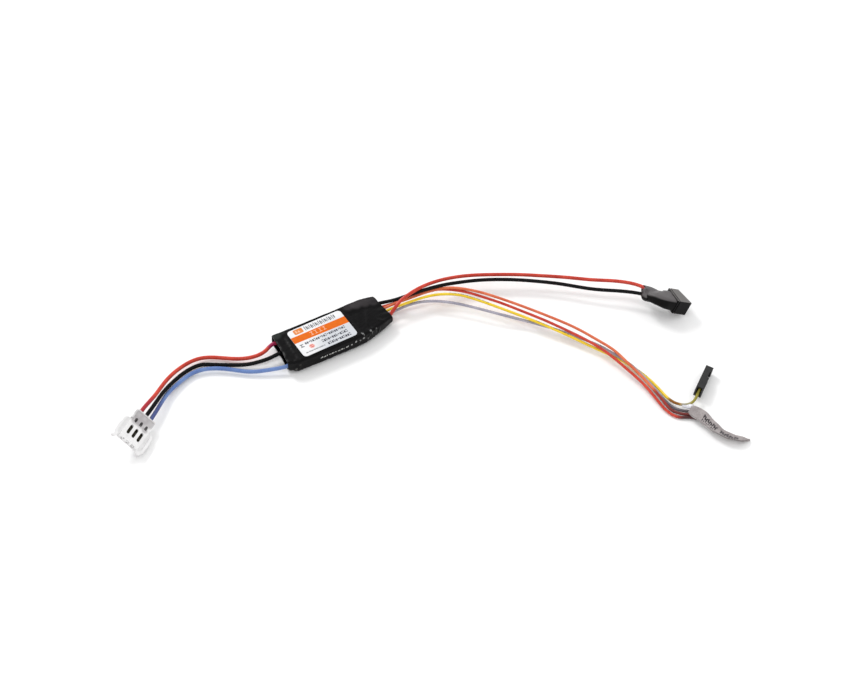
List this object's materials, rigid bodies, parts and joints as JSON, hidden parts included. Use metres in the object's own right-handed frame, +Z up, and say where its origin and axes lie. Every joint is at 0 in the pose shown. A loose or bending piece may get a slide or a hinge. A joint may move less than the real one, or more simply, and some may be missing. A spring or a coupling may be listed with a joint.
{
  "type": "electronic speed controller",
  "caption": "Small brushless motor speed controller in a labelled heat-shrink sleeve, with plugged motor, battery and signal leads.",
  "frame": {"origin": "centre of the sleeve's underside", "axes": "+X along the sleeve towards the battery and signal leads, +Y across it, +Z up through the label"},
  "size_m": [0.187, 0.1137, 0.009],
  "materials": {
    "black_sleeve": "slightly glossy black heat-shrink film",
    "white_label": "satin white printed label stock",
    "green_board": "solder-masked glass-epoxy laminate",
    "black_package": "moulded epoxy package",
    "tan_ceramic": "fired ceramic capacitor body",
    "tin_solder": "bright tin solder",
    "plated_contact": "gold-flashed crimp metal",
    "red_insulation": "soft satin red wire insulation",
    "black_insulation": "soft satin black wire insulation",
    "blue_insulation": "soft satin light blue wire insulation",
    "orange_insulation": "satin orange wire insulation",
    "yellow_insulation": "satin yellow wire insulation",
    "grey_insulation": "satin light grey wire insulation",
    "white_nylon": "moulded white nylon",
    "black_nylon": "moulded black nylon",
    "tag_film": "grey translucent printed film"
  },
  "bodies": {
    "root": {"heat_shrink_sleeve": "black_sleeve", "product_label": "white_label", "circuit_board": "green_board", "mosfet_1": "black_package", "mosfet_2": "black_package", "mosfet_3": "black_package", "mosfet_4": "black_package", "mosfet_5": "black_package", "mosfet_6": "black_package", "microcontroller": "black_package", "gate_driver": "black_package", "voltage_regulator": "black_package", "current_sense_resistor": "black_package", "input_capacitor_1": "tan_ceramic", "input_capacitor_2": "tan_ceramic", "logic_capacitor": "tan_ceramic", "resonator": "tin_solder", "motor_solder_joint_red": "tin_solder", "motor_solder_joint_black": "tin_solder", "motor_solder_joint_blue": "tin_solder", "battery_solder_joint_red": "tin_solder", "battery_solder_joint_black": "tin_solder", "signal_solder_joint_orange": "tin_solder", "signal_solder_joint_red": "tin_solder", "signal_solder_joint_yellow": "tin_solder", "signal_solder_joint_grey": "tin_solder", "motor_wire_red": "red_insulation", "motor_wire_black": "black_insulation", "motor_wire_blue": "blue_insulation", "motor_plug_housing": "white_nylon", "motor_plug_contact_1": "plated_contact", "motor_plug_contact_2": "plated_contact", "motor_plug_contact_3": "plated_contact", "battery_wire_red": "red_insulation", "battery_wire_black": "black_insulation", "battery_plug_heat_shrink": "black_sleeve", "battery_plug_housing": "black_nylon", "battery_plug_pin_1": "plated_contact", "battery_plug_pin_2": "plated_contact", "signal_wire_orange": "orange_insulation", "signal_wire_red": "red_insulation", "signal_wire_yellow": "yellow_insulation", "signal_wire_grey": "grey_insulation", "single_plug_housing": "black_nylon", "single_plug_contact": "plated_contact", "lead_tag": "tag_film"}
  },
  "joints": []
}
